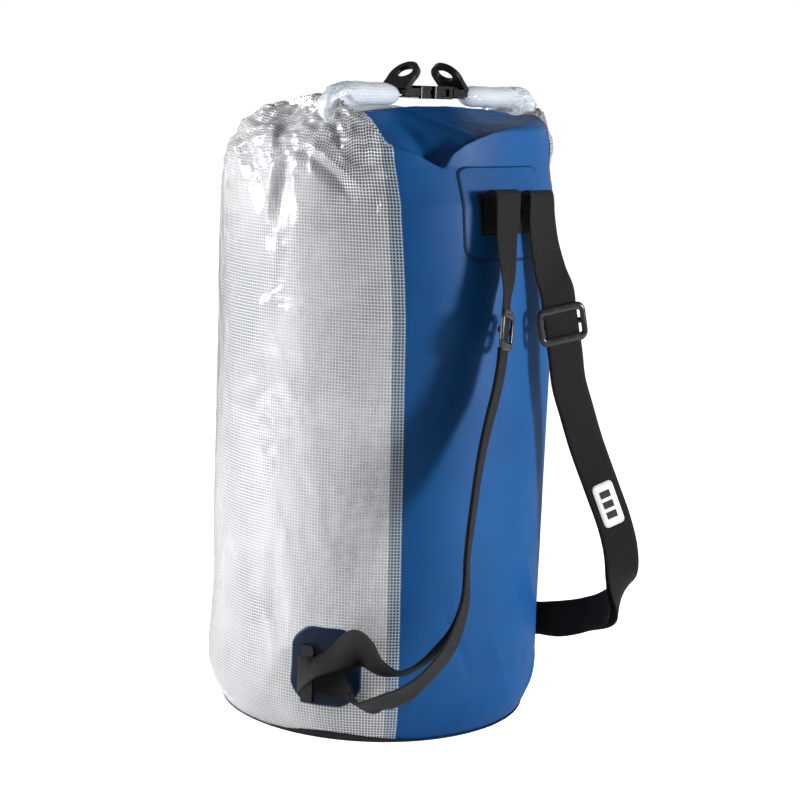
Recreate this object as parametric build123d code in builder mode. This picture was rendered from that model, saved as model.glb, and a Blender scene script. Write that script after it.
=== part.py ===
from build123d import *
import math
import os

# Roll-top dry bag with two shoulder straps, in millimetres.
# Z is up, the bag stands on its base at the origin, the straps are on the -Y side,
# and the rolled mouth runs along X.

# ---- driving dimensions -------------------------------------------------------
bag_radius = 165.0          # outside of the tube
wall = 0.8                  # coated fabric
panel_half_width = 118.7    # half the width of the blue back panel, seam to seam
tube_top = 440.0            # the tube is a plain cylinder up to here
neck_z = 570.0              # where the closed mouth meets the roll
roll_y = -50.0              # the roll sits behind the middle of the bag

base_rim_height = 8.0
base_thickness = 1.2
base_rim = 1.1

roll_z = 583.0              # middle of the roll's straight run
arm_z = 607.0               # middle of the two arms folded back over it
roll_radius = 10.5
roll_half_span = 125.0      # to the centre of each bend
roll_cut = 108.0            # where the middle run ends and the folded ends begin
left_arm_end = -52.0
right_arm_end = 40.0
stiffener_width = 17.0
stiffener_thickness = 1.2
stiffener_play = 0.3

webbing_width = 35.0
webbing = 1.5
slider_gap = 0.35           # play between webbing and the bars of a slider

patch_thickness = 1.0
upper_patch_width = 108.0
upper_patch_height = 96.0
upper_patch_middle = 507.0
lower_patch_width = 72.0
lower_patch_height = 78.0
lower_patch_cut = 16.0      # cut off each corner
lower_patch_middle = 76.0
lower_patch_angle = 64.0    # from the middle of the back, round each side

anchor_bottom = 484.0
anchor_top = 520.0
anchor_half_width = 43.5
strap_x = 26.0              # middle of each strap at the anchor
fold_radius = 5.0
back_face = -161.7          # the sewn strap ends lie in this plane
joint_gap = 2.0             # between a strap and the sewn webbing it swings from

keeper_angle = 68.0
keeper_width = 12.0
keeper_height = 56.0
keeper_thickness = 2.0
keeper_corner = 3.0
keeper_gap = 4.2            # from the patch to the back of the keeper
keeper_foot = 8.0
keeper_middle = 68.0
keeper_overlap = 1.0        # feet start inside the patch and are trimmed to its face
loop_gap = 0.6              # webbing to keeper bar
loop_reach = 26.0           # length of the loop behind the bar
loop_play = 0.3             # webbing to patch

buckle_at = (-6.0, -46.0, 610.0)

os.makedirs("parts", exist_ok=True)


def save(piece, name):
    piece.label = name
    export_step(piece, f"parts/{name}.step")


# ---- the bag's outline --------------------------------------------------------
# Each level above the tube: height, half length along X, half depth along Y, middle in Y.
shoulder_levels = [
    (tube_top, bag_radius, bag_radius, 0.0),
    (510.0, 163.0, 160.0, 3.0),
    (545.0, 154.0, 136.0, -4.0),
    (562.0, 141.0, 76.0, -28.0),
    (neck_z, 130.0, 9.0, roll_y),
]


def bag_form(grow):
    """The closed bag as a solid, grown outwards by the given distance."""
    with BuildPart() as form:
        with BuildSketch(Plane.XY.offset(base_thickness)):
            Circle(bag_radius + grow)
        extrude(amount=tube_top - base_thickness)
        for level, half_x, half_y, middle_y in shoulder_levels:
            with BuildSketch(Plane.XY.offset(level)):
                with Locations((0, middle_y)):
                    Ellipse(half_x + grow, half_y + grow)
        loft()
    return form.part


outside = bag_form(0.0)
inside = bag_form(-wall)
over_patch = bag_form(patch_thickness)
over_anchor = bag_form(patch_thickness + webbing)

# ---- panels -------------------------------------------------------------------
with BuildPart() as clear_panel:
    add(outside)
    add(inside, mode=Mode.SUBTRACT)
    with Locations((0, roll_y - bag_radius, neck_z / 2)):
        Box(2 * panel_half_width, 2 * bag_radius, 2 * neck_z, mode=Mode.SUBTRACT)
save(clear_panel.part, "clear_mesh_panel")

with BuildPart() as back_panel:
    add(outside)
    add(inside, mode=Mode.SUBTRACT)
    with Locations((0, roll_y - bag_radius, neck_z / 2)):
        Box(2 * panel_half_width, 2 * bag_radius, 2 * neck_z, mode=Mode.INTERSECT)
save(back_panel.part, "back_panel")

with BuildPart() as base:
    with BuildSketch():
        Circle(bag_radius + base_rim)
    extrude(amount=base_rim_height)
    with BuildSketch(Plane.XY.offset(base_thickness)):
        Circle(bag_radius)
    extrude(amount=base_rim_height, mode=Mode.SUBTRACT)
save(base.part, "base_disc")


# ---- rolled mouth -------------------------------------------------------------
def roll_path():
    """Centre line of the rolled mouth: arm, bend, straight run, bend, arm."""
    bend = (arm_z - roll_z) / 2
    with BuildLine(Plane.XZ.offset(-roll_y)) as path:
        Polyline((left_arm_end, arm_z), (-roll_half_span, arm_z))
        ThreePointArc((-roll_half_span, arm_z), (-roll_half_span - bend, arm_z - bend),
                      (-roll_half_span, roll_z))
        Line((-roll_half_span, roll_z), (roll_half_span, roll_z))
        ThreePointArc((roll_half_span, roll_z), (roll_half_span + bend, roll_z + bend),
                      (roll_half_span, arm_z))
        Line((roll_half_span, arm_z), (right_arm_end, arm_z))
    return path.line


roll_line = roll_path()
roll_start = Plane(origin=(left_arm_end, roll_y, arm_z), x_dir=(0, 1, 0), z_dir=(-1, 0, 0))

with BuildPart() as stiffener:
    with BuildSketch(roll_start):
        Rectangle(stiffener_width, stiffener_thickness)
    sweep(path=roll_line)
save(stiffener.part, "mouth_stiffener")

with BuildPart() as rolled_fabric:
    with BuildSketch(roll_start):
        Circle(roll_radius)
        Rectangle(stiffener_width + 2 * stiffener_play, stiffener_thickness + 2 * stiffener_play,
                  mode=Mode.SUBTRACT)
    sweep(path=roll_line)

run_box = (2 * roll_cut, 4 * roll_radius, 2 * roll_radius + 1)
end_box = (2 * roll_half_span, 4 * roll_radius, 6 * roll_radius)
run_middle = (0, roll_y, roll_z)

with BuildPart() as roll_middle:
    add(rolled_fabric.part)
    with Locations(run_middle):
        Box(*run_box, mode=Mode.INTERSECT)
save(roll_middle.part, "roll_middle")

for name, side in (("roll_end_right", 1), ("roll_end_left", -1)):
    with BuildPart() as roll_end:
        add(rolled_fabric.part)
        with Locations((side * roll_half_span, roll_y, arm_z)):
            Box(*end_box, mode=Mode.INTERSECT)
        with Locations(run_middle):
            Box(*run_box, mode=Mode.SUBTRACT)
    save(roll_end.part, name)


# ---- webbing ------------------------------------------------------------------
def ribbon(stations, width=webbing_width, thickness=webbing):
    """A flat band through stations of (point, direction across the band)."""
    points = [Vector(*point) for point, across in stations]
    with BuildPart() as band:
        for index, (point, across) in enumerate(stations):
            before = points[max(index - 1, 0)]
            after = points[min(index + 1, len(points) - 1)]
            along = (after - before).normalized()
            flat = Vector(*across)
            flat = (flat - along * flat.dot(along)).normalized()
            with BuildSketch(Plane(origin=points[index], x_dir=flat, z_dir=along)):
                Rectangle(width, thickness)
        loft(ruled=True)
    return band.part


# Route of the right strap. The webbing's face turns from flat on the back
# at the top to upright at the bottom, where it goes round the keeper.
slider_middle = Vector(42, -187.5, 400)
slider_along = (Vector(47, -189.5, 372) - Vector(37, -184, 428)).normalized()
slider_across = Vector(0.84, -0.45, 0.22)
slider_across = (slider_across - slider_along * slider_across.dot(slider_along)).normalized()
slider_normal = slider_along.cross(slider_across)
straight = 34.0             # half of the straight stretch that the slider can move on


def at_slider(across, along, off):
    return slider_middle + slider_across * across + slider_along * along + slider_normal * off


across_slider = tuple(slider_across)
upper_stations = [
    ((26.0, -171.7, anchor_top - joint_gap), (1.0, 0.0, 0.0)),
    ((27.0, -172.0, 500), (0.997, -0.08, 0.0)),
    ((29.5, -174.0, 475), (0.98, -0.17, 0.05)),
    ((32.5, -178.5, 450), (0.92, -0.32, 0.13)),
    (tuple(at_slider(0, -straight, 0)), across_slider),
    (tuple(at_slider(0, straight, 0)), across_slider),
]
lower_centre = [
    (tuple(at_slider(0, straight + 0.5, 0)), across_slider),
    ((54.0, -191.0, 343), (0.80, -0.46, 0.30)),
    ((66.0, -193.0, 315), (0.77, -0.47, 0.38)),
    ((80.0, -197.0, 280), (0.74, -0.48, 0.44)),
    ((96.0, -205.0, 240), (0.72, -0.48, 0.48)),
    ((110.0, -213.0, 203), (0.70, -0.49, 0.51)),
    ((119.0, -217.0, 172), (0.60, -0.48, 0.64)),
    ((127.0, -214.0, 142), (0.38, -0.36, 0.85)),
    ((137.0, -202.0, 117), (0.18, -0.18, 0.96)),
    ((148.0, -181.0, 99), (0.06, -0.06, 1.00)),
    ((156.0, -152.0, 86), (0.02, 0.0, 1.0)),
    ((153.5, -124.0, 75), (0.0, 0.0, 1.0)),
    ((148.0, -100.5, keeper_middle + 1), (0.0, 0.0, 1.0)),
]
loop_spread = [1.0, 1.0, 1.0, 1.0, 1.0, 1.1, 1.6, 3.0, 5.0, 6.5, 7.0, 5.0, 2.4]


def strap_layer(side):
    """One of the two layers below the slider, on the outer (+1) or inner (-1) side."""
    layer = []
    points = [Vector(*point) for point, across in lower_centre]
    for index, (point, across) in enumerate(lower_centre):
        before = points[max(index - 1, 0)]
        after = points[min(index + 1, len(points) - 1)]
        along = (after - before).normalized()
        normal = along.cross(Vector(*across)).normalized()
        offset = side * loop_spread[index]
        layer.append((tuple(points[index] + normal * offset), across))
    return layer


right_upper = ribbon(upper_stations)
outer_layer = ribbon(strap_layer(1))
inner_layer = ribbon(strap_layer(-1))
with BuildPart() as right_lower:
    add(outer_layer)
    add(inner_layer)

for side_name, flip in (("right", False), ("left", True)):
    for piece, name in ((right_upper, "strap_upper"), (right_lower.part, "strap_lower")):
        solid = mirror(piece, about=Plane.YZ) if flip else piece
        save(solid, f"{side_name}_{name}")

# ---- patches and anchors ------------------------------------------------------
with BuildPart() as upper_patch:
    with BuildSketch(Plane.XZ.offset(bag_radius / 2)) as patch_outline:
        with Locations((0, upper_patch_middle)):
            RectangleRounded(upper_patch_width, upper_patch_height, 14)
    extrude(amount=bag_radius)
    add(over_patch, mode=Mode.INTERSECT)
    add(outside, mode=Mode.SUBTRACT)
save(upper_patch.part, "upper_patch")

with BuildPart() as strap_anchor:
    with BuildSketch(Plane.XZ.offset(bag_radius / 2)):
        with Locations((0, (anchor_bottom + anchor_top) / 2)):
            Rectangle(2 * anchor_half_width, anchor_top - anchor_bottom)
    extrude(amount=bag_radius)
    add(over_anchor, mode=Mode.INTERSECT)
    add(over_patch, mode=Mode.SUBTRACT)
save(strap_anchor.part, "strap_anchor_webbing")

for side_name, side in (("right", 1), ("left", -1)):
    with BuildPart() as sewn_end:
        with BuildSketch(Plane.YZ.offset(side * strap_x - webbing_width / 2)):
            with BuildLine():
                middle_y = back_face - fold_radius
                inner = fold_radius - webbing / 2
                outer = fold_radius + webbing / 2
                Line((middle_y + outer, anchor_bottom), (middle_y + outer, anchor_top))
                ThreePointArc((middle_y + outer, anchor_top), (middle_y, anchor_top + outer),
                              (middle_y - outer, anchor_top))
                Line((middle_y - outer, anchor_top), (middle_y - inner, anchor_top))
                ThreePointArc((middle_y - inner, anchor_top), (middle_y, anchor_top + inner),
                              (middle_y + inner, anchor_top))
                Line((middle_y + inner, anchor_top), (middle_y + inner, anchor_bottom))
                Line((middle_y + inner, anchor_bottom), (middle_y + outer, anchor_bottom))
            make_face()
        extrude(amount=webbing_width)
        add(over_anchor, mode=Mode.SUBTRACT)
    save(sewn_end.part, f"{side_name}_strap_sewn_end")

for side_name, side in (("right", 1), ("left", -1)):
    turn = math.radians(lower_patch_angle)
    outwards = (side * math.sin(turn), -math.cos(turn), 0)
    tangent = (math.cos(turn), side * math.sin(turn), 0)
    with BuildPart() as lower_patch:
        with BuildSketch(Plane(origin=(0, 0, lower_patch_middle), x_dir=tangent, z_dir=outwards)):
            Rectangle(lower_patch_width, lower_patch_height)
            chamfer(vertices(), lower_patch_cut)
        extrude(amount=2 * bag_radius)
        with BuildSketch():
            Circle(bag_radius)
        extrude(amount=neck_z, mode=Mode.SUBTRACT)
        with BuildSketch():
            Circle(bag_radius + patch_thickness)
        extrude(amount=neck_z, mode=Mode.INTERSECT)
    save(lower_patch.part, f"{side_name}_lower_patch")

# ---- lower keepers, with the webbing loop that goes round each ----------------
wall_touch = bag_radius + patch_thickness
for side_name, side in (("right", 1), ("left", -1)):
    turn = math.radians(keeper_angle)
    outwards = (side * math.sin(turn), -math.cos(turn), 0)
    forwards = Vector(math.cos(turn), side * math.sin(turn), 0)
    bar_middle = wall_touch + keeper_gap + keeper_thickness / 2
    keeper_plane = Plane(origin=(0, 0, keeper_middle), x_dir=forwards, z_dir=outwards)
    with BuildPart() as keeper:
        with BuildSketch(keeper_plane.offset(wall_touch + keeper_gap)):
            RectangleRounded(keeper_width, keeper_height, keeper_corner)
        extrude(amount=keeper_thickness)
        with BuildSketch(keeper_plane.offset(wall_touch - keeper_overlap)):
            with GridLocations(0, keeper_height - keeper_foot, 1, 2):
                Rectangle(keeper_width, keeper_foot)
        extrude(amount=keeper_gap + keeper_overlap + keeper_thickness / 2)
        with BuildSketch():
            Circle(wall_touch)
        extrude(amount=neck_z, mode=Mode.SUBTRACT)
    save(keeper.part, f"{side_name}_strap_keeper")

    # Seen from above: round the front edge of the keeper's bar, then back towards the strap.
    inner = keeper_thickness / 2 + loop_gap
    outer = inner + webbing
    loop_plane = Plane(origin=(0, 0, keeper_middle - webbing_width / 2),
                       x_dir=Vector(*outwards), z_dir=(0, 0, 1))
    front = side * keeper_width / 2
    reach = -front - side * loop_reach
    with BuildPart() as foot_loop:
        with BuildSketch(loop_plane):
            with BuildLine():
                Line((bar_middle - inner, reach), (bar_middle - inner, front))
                ThreePointArc((bar_middle - inner, front), (bar_middle, front + side * inner),
                              (bar_middle + inner, front))
                Line((bar_middle + inner, front), (bar_middle + inner, reach))
                Line((bar_middle + inner, reach), (bar_middle + outer, reach))
                Line((bar_middle + outer, reach), (bar_middle + outer, front))
                ThreePointArc((bar_middle + outer, front), (bar_middle, front + side * outer),
                              (bar_middle - outer, front))
                Line((bar_middle - outer, front), (bar_middle - outer, reach))
                Line((bar_middle - outer, reach), (bar_middle - inner, reach))
            make_face()
        extrude(amount=webbing_width)
        with BuildSketch():
            Circle(wall_touch + loop_play)
        extrude(amount=neck_z, mode=Mode.SUBTRACT)
    save(foot_loop.part, f"{side_name}_strap_foot_loop")

# ---- sliders ------------------------------------------------------------------
slider_length = 31.0
slider_rail = 4.0
slider_end_bar = 5.5
slider_centre_bar = 5.0
slider_bar_depth = 2.8
slider_corner = 4.0
slot_width = webbing_width + 1.4
half_layer = webbing / 2 + slider_gap

inner_face = -half_layer - slider_bar_depth
slider_plane = Plane(origin=slider_middle, x_dir=slider_across, z_dir=slider_normal)

with BuildPart() as slider:
    with BuildSketch(slider_plane.offset(half_layer)):
        RectangleRounded(slot_width + 2 * slider_rail, slider_length, slider_corner)
        Rectangle(slot_width, slider_length - 2 * slider_end_bar, mode=Mode.SUBTRACT)
    extrude(amount=slider_bar_depth)
    with BuildSketch(slider_plane.offset(inner_face)):
        with GridLocations(slot_width + slider_rail, 0, 2, 1):
            Rectangle(slider_rail, slider_length - 2 * slider_corner)
    extrude(amount=half_layer - inner_face)
    with BuildSketch(slider_plane.offset(inner_face)):
        Rectangle(slot_width + 2 * slider_rail, slider_centre_bar)
    extrude(amount=slider_bar_depth)
save(slider.part, "right_slider")
save(mirror(slider.part, about=Plane.YZ), "left_slider")

# ---- label on the right strap -------------------------------------------------
label_length = 46.0
label_width = 22.0
label_thickness = 0.8
label_corner = 4.0
label_play = 0.5
label_from = Vector(*lower_centre[4][0])
label_to = Vector(*lower_centre[5][0])
label_along = (label_to - label_from).normalized()
label_across = Vector(*lower_centre[4][1])
label_across = (label_across - label_along * label_across.dot(label_along)).normalized()
label_normal = label_along.cross(label_across).normalized()
label_off = loop_spread[4] + webbing / 2 + label_play
label_side = 1 if label_normal.Y < 0 else -1
label_middle = (label_from + label_to) * 0.5 + label_normal * (label_side * label_off)
with BuildPart() as label:
    with BuildSketch(Plane(origin=label_middle, x_dir=label_across,
                           z_dir=label_normal * label_side)):
        RectangleRounded(label_width, label_length, label_corner)
    extrude(amount=label_thickness)
save(label.part, "strap_label")

# ---- buckle -------------------------------------------------------------------
body_width = 32.0
body_height = 12.0
body_corner = 2.5
housing_from = -4.0
housing_to = 24.0
cavity_width = 25.0
cavity_height = 7.2
cavity_to = 20.0
window_from = 6.0
window_to = 17.0
tail_end = 44.0
tail_bar = 4.0
tail_height = 7.0
bar_middle_x = 33.0          # the bar that the closure tab goes round
tail_slot = 5.0
tail_slot_width = 23.0
ear_width = 33.0
ear_slope_length = 35.0
ear_shoulder = 14.0         # up the slope, where the round top starts
ear_hole_middle = 22.0
ear_hole_half_width = 9.5
ear_hole_half_height = 7.0
ear_lean = 45.0
ear_foot_height = 2.0
ear_thickness = 4.6
ear_foot = 44.0
prong_root = -8.0
prong_tip = 16.0
prong_inner = 8.2
prong_outer = 11.4
prong_head = 15.4
prong_height = 6.4
prong_play = 0.3
prong_catch = 1.0           # from the window's edge to the step of the prong
prong_nose = 3.6            # slope at the prong's tip
guide_half = 1.6
male_base_from = -24.0
buckle = Vector(*buckle_at)


def at_buckle(x, y, z):
    return Plane(origin=buckle + Vector(x, y, z))


def ear_plane(side):
    """Plane of an ear, which leans in over the buckle."""
    lean = math.radians(ear_lean)
    up_slope = Vector(-side * math.cos(lean), 0, math.sin(lean))
    normal = Vector(side * math.sin(lean), 0, math.cos(lean))
    across = up_slope.cross(normal)
    origin = buckle + Vector(side * ear_foot, 0, ear_foot_height)
    return Plane(origin=origin, x_dir=across, z_dir=normal)


def ear(side):
    """A D-shaped ring, wide at its foot and round at its top."""
    half = ear_width / 2
    top = ear_slope_length
    with BuildPart() as ring:
        with BuildSketch(ear_plane(side).offset(-ear_thickness / 2)):
            with BuildLine():
                Polyline((-half, ear_shoulder), (-half, 0), (half, 0), (half, ear_shoulder))
                ThreePointArc((half, ear_shoulder), (0, top), (-half, ear_shoulder))
            make_face()
            with Locations((0, ear_hole_middle)):
                Ellipse(ear_hole_half_width, ear_hole_half_height, mode=Mode.SUBTRACT)
        extrude(amount=ear_thickness)
    return ring.part


def tail(side, inner_end):
    """The webbing bar at the outer end of a buckle half."""
    length = tail_end - inner_end
    middle = side * (tail_end + inner_end) / 2
    slots = [(side * (bar_middle_x + step * (tail_slot + tail_bar) / 2) - middle, 0)
             for step in (-1, 1)]
    with BuildPart() as frame:
        with BuildSketch(at_buckle(middle, 0, -tail_height / 2)):
            Rectangle(length, body_width)
            with Locations(*slots):
                Rectangle(tail_slot, tail_slot_width, mode=Mode.SUBTRACT)
        extrude(amount=tail_height)
    return frame.part


with BuildPart() as female:
    with BuildSketch(at_buckle((housing_from + housing_to) / 2, 0, -body_height / 2)):
        RectangleRounded(housing_to - housing_from, body_width, body_corner)
    extrude(amount=body_height)
    with Locations(buckle + Vector((housing_from + cavity_to) / 2, 0, 0)):
        Box(cavity_to - housing_from, cavity_width, cavity_height, mode=Mode.SUBTRACT)
    with Locations(buckle + Vector((window_from + window_to) / 2, 0, 0)):
        Box(window_to - window_from, body_width + 2, cavity_height, mode=Mode.SUBTRACT)
    add(tail(1, housing_to))
    add(ear(1))
save(female.part, "buckle_female_half")

with BuildPart() as male:
    base_middle = (male_base_from + prong_root) / 2
    with BuildSketch(at_buckle(base_middle, 0, -body_height / 2)):
        RectangleRounded(prong_root - male_base_from, body_width, body_corner)
    extrude(amount=body_height)
    add(tail(-1, -male_base_from))
    add(ear(-1))
    with BuildSketch(at_buckle((male_base_from + prong_tip) / 2, 0, -prong_height / 2)):
        Rectangle(prong_tip - male_base_from, 2 * guide_half)
    extrude(amount=prong_height)
save(male.part, "buckle_male_half")

for name, side in (("buckle_prong_back", -1), ("buckle_prong_front", 1)):
    with BuildPart() as prong:
        with BuildSketch(at_buckle(0, 0, -prong_height / 2)):
            with BuildLine():
                root = prong_root + prong_play
                catch = window_from + prong_catch
                Polyline((root, side * prong_inner), (prong_tip, side * (prong_inner + 1)),
                         (prong_tip, side * (prong_head - prong_nose)),
                         (prong_tip - prong_nose, side * prong_head),
                         (catch, side * prong_head),
                         (catch, side * prong_outer),
                         (root, side * prong_outer), close=True)
            make_face()
        extrude(amount=prong_height)
    save(prong.part, name)

# ---- webbing tabs between the roll's ends and the buckle ----------------------
tab_width = 21.0
tab_thickness = 1.4
tab_play = 0.4
tab_corner = 2.5
tab_under = tail_height / 2 + tab_play + tab_thickness
for name, side, arm_end in (("closure_tab_left", -1, left_arm_end),
                            ("closure_tab_right", 1, right_arm_end)):
    bar_x = buckle.X + side * bar_middle_x
    run = abs(arm_end - bar_x)
    with BuildPart() as tab:
        with BuildSketch(Plane.XZ.offset(-buckle.Y - tab_width / 2)):
            with Locations((bar_x, buckle.Z)):
                RectangleRounded(tail_bar + 2 * (tab_thickness + tab_play), 2 * tab_under, tab_corner)
            with Locations((bar_x + side * run / 2, buckle.Z - tab_under + tab_thickness / 2)):
                Rectangle(run, tab_thickness)
            with Locations((bar_x, buckle.Z)):
                Rectangle(tail_bar + 2 * tab_play, tail_height + 2 * tab_play, mode=Mode.SUBTRACT)
        extrude(amount=tab_width)
    save(tab.part, name)

# ---- stitching ----------------------------------------------------------------
thread = 0.6
stitch_length = 3.0
stitch_x = 4.5              # two columns in the gap between the sewn strap ends
stitch_rows = 5
stitch_pitch = (anchor_top - anchor_bottom - 6) / (stitch_rows - 1)

with BuildPart() as stitches:
    with Locations((0, -bag_radius, (anchor_bottom + anchor_top) / 2)):
        with GridLocations(2 * stitch_x, 0, 2, 1):
            with Locations(*[(0, 0, (row - (stitch_rows - 1) / 2) * stitch_pitch)
                             for row in range(stitch_rows)]):
                Box(thread, bag_radius, stitch_length)
    add(bag_form(patch_thickness + webbing + thread), mode=Mode.INTERSECT)
    add(over_anchor, mode=Mode.SUBTRACT)
save(stitches.part, "anchor_stitches")
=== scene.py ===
import math
import bpy
import numpy as np
from mathutils import Matrix, Vector, noise


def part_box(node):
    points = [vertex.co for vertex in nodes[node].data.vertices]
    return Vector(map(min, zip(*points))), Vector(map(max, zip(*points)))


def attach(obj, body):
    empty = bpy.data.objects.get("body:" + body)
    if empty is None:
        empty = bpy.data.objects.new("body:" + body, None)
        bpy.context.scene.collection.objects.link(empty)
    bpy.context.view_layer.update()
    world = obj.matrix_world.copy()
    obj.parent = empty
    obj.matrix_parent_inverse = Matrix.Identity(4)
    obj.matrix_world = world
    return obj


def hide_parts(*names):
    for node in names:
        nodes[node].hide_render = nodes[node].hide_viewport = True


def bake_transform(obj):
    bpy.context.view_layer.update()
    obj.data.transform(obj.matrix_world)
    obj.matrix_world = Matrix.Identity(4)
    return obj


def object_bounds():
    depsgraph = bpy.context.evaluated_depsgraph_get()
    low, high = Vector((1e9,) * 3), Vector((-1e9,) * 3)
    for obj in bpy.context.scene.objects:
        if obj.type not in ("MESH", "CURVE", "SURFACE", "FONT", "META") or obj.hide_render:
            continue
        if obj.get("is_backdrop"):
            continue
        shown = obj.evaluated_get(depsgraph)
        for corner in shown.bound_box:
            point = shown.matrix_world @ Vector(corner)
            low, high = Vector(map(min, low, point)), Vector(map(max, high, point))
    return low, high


# A roll-top dry bag, in metres, in the frame of its CAD model: Z up, straps on the -Y side,
# the rolled mouth along X. A point of the fabric is named by an angle from the middle of the
# back (-Y), positive towards +X, and by its height up the unrolled tube.

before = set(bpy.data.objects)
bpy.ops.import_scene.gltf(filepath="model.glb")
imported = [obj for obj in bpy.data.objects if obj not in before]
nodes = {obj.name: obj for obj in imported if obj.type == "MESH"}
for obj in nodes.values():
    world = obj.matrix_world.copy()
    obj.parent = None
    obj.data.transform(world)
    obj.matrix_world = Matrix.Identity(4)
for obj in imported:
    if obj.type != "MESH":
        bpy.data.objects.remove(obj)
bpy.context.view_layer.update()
MM = 0.001

# ---- driving sizes ------------------------------------------------------------
TUBE_R = 165 * MM
TUBE_LENGTH = 790 * MM          # base to the line where the mouth enters the roll
WALL_TO = 400 * MM              # plain cylinder up to here
DOME_FROM = 530 * MM            # where the first guess of the dome starts
SEAM = math.radians(46)         # the blue panel's half width
WELD = 12 * MM                  # overlap of the two panels
FABRIC_T = 0.7 * MM
FOOT_IN = 14 * MM               # the wall tucks in by this much at the floor
FOOT_HEIGHT = 46 * MM           # and is back to its full radius here
COLUMNS = 180                   # of the cloth that is settled
ROWS = 72
SIM_FRAMES = 46
PRESSURE = 20
BENDING = 0.5
MESH_PITCH = 3.0 * MM
EVEN_TO = 460 * MM              # below this the wall's fabric is as long as it is high
WEBBING_W = 35 * MM
WEBBING_T = 1.5 * MM

middle_low, middle_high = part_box("roll_middle")
ROLL_Y = (middle_low.y + middle_high.y) / 2
ROLL_Z = (middle_low.z + middle_high.z) / 2
ROLL_R = (middle_high.z - middle_low.z) / 2
_, right_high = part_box("roll_end_right")
ARM_Z = right_high.z - ROLL_R
BEND_R = (ARM_Z - ROLL_Z) / 2
BEND_X = right_high.x - ROLL_R - BEND_R
BEND_OUT_LEFT = BEND_R
BEND_OUT_RIGHT = BEND_R + 16 * MM
ARM_USED = 40 * MM              # length of arm that still takes fabric from the bag


# ---- small helpers ------------------------------------------------------------
def new_mesh(name, verts, faces, uvs=None, material=None):
    """A smooth mesh object. uvs is one (u, v) per vertex, in metres."""
    data = bpy.data.meshes.new(name)
    data.from_pydata([tuple(map(float, v)) for v in verts], [], [tuple(map(int, f)) for f in faces])
    obj = bpy.data.objects.new(name, data)
    bpy.context.scene.collection.objects.link(obj)
    if uvs is not None:
        layer = data.uv_layers.new(name="UVMap")
        index = np.zeros(len(data.loops), int)
        data.loops.foreach_get("vertex_index", index)
        layer.data.foreach_set("uv", np.asarray(uvs, np.float32)[index].ravel())
    data.polygons.foreach_set("use_smooth", [True] * len(data.polygons))
    if material:
        data.materials.append(material)
    data.update()
    return obj


def grid_faces(rows, cols, wrap=False, closed=False):
    """Quads over rows of points. wrap joins the last column to the first, closed the last row."""
    faces = []
    for i in range(rows if closed else rows - 1):
        above = (i + 1) % rows * cols
        for j in range(cols if wrap else cols - 1):
            after = (j + 1) % cols
            faces.append((i * cols + j, i * cols + after, above + after, above + j))
    return faces


def shifted(faces, first):
    """The same faces for points that start at number first."""
    return [tuple(first + k for k in face) for face in faces]


def set_all(target, **values):
    for key, value in values.items():
        setattr(target, key, value)


def modifier(obj, kind, **values):
    added = obj.modifiers.new(kind.lower(), kind)
    set_all(added, **values)
    return added


def foot(height):
    """How far inside its full radius the wall is, near the floor."""
    return FOOT_IN * np.clip(1 - height / FOOT_HEIGHT, 0, 1) ** 2


def ease(t):
    t = np.clip(t, 0.0, 1.0)
    return t * t * (3 - 2 * t)


def circle(count):
    """Evenly spaced angles all round."""
    return np.linspace(0, 2 * math.pi, count, endpoint=False)


def unit(vectors):
    """The same directions with length 1."""
    return vectors / np.maximum(np.linalg.norm(vectors, axis=-1, keepdims=True), 1e-9)


def bell(value, middle, width):
    """1 at the middle, falling smoothly to 0 on both sides."""
    return np.exp(-((value - middle) / width) ** 2)


def above_zero(value, soft):
    """The value where it is positive and 0 elsewhere, with the corner rounded by soft."""
    return soft * np.logaddexp(0, np.clip(value / soft, -60, 60))


def bump_noise(points, scale, seed, octaves=2):
    """Smooth noise of about -1 to 1 at each point."""
    shift = Vector((seed * 13.7, seed * 7.3, seed * 3.1))
    return np.array([noise.fractal(Vector(p) * scale + shift, 1.0, 2.0, octaves) for p in points])


# ---- node trees ---------------------------------------------------------------
class Nodes:
    """A node tree under construction: every call adds one node and returns its output."""

    def __init__(self, tree):
        self.nodes, self.links = tree.nodes, tree.links

    def put(self, socket, value):
        if hasattr(value, "is_output"):
            self.links.new(value, socket)
        elif isinstance(value, tuple) and len(value) == 3 and socket.type == "RGBA":
            socket.default_value = (*value, 1)
        else:
            socket.default_value = value

    def node(self, kind, output=0, **inputs):
        """Names that start with set_ are properties, i0 and i1 are inputs by number, and the rest
        are inputs by name."""
        made = self.nodes.new("ShaderNode" + kind)
        for key, value in inputs.items():
            if key.startswith("set_"):
                setattr(made, key[4:], value)
        for key, value in inputs.items():
            if not key.startswith("set_"):
                socket = int(key[1:]) if key[1:].isdigit() else key.replace("_", " ")
                self.put(made.inputs[socket], value)
        return made.outputs[output]

    def math(self, operation, a, b=0.0):
        return self.node("Math", set_operation=operation, i0=a, i1=b)

    def times(self, a, b):
        return self.math("MULTIPLY", a, b)

    def minus(self, a, b):
        return self.math("SUBTRACT", a, b)

    def absolute(self, a):
        return self.math("ABSOLUTE", a)

    def span(self, value, low, high, to_low=0.0, to_high=1.0):
        return self.node("MapRange", "Result", Value=value, From_Min=low, From_Max=high,
                         To_Min=to_low, To_Max=to_high)


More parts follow.
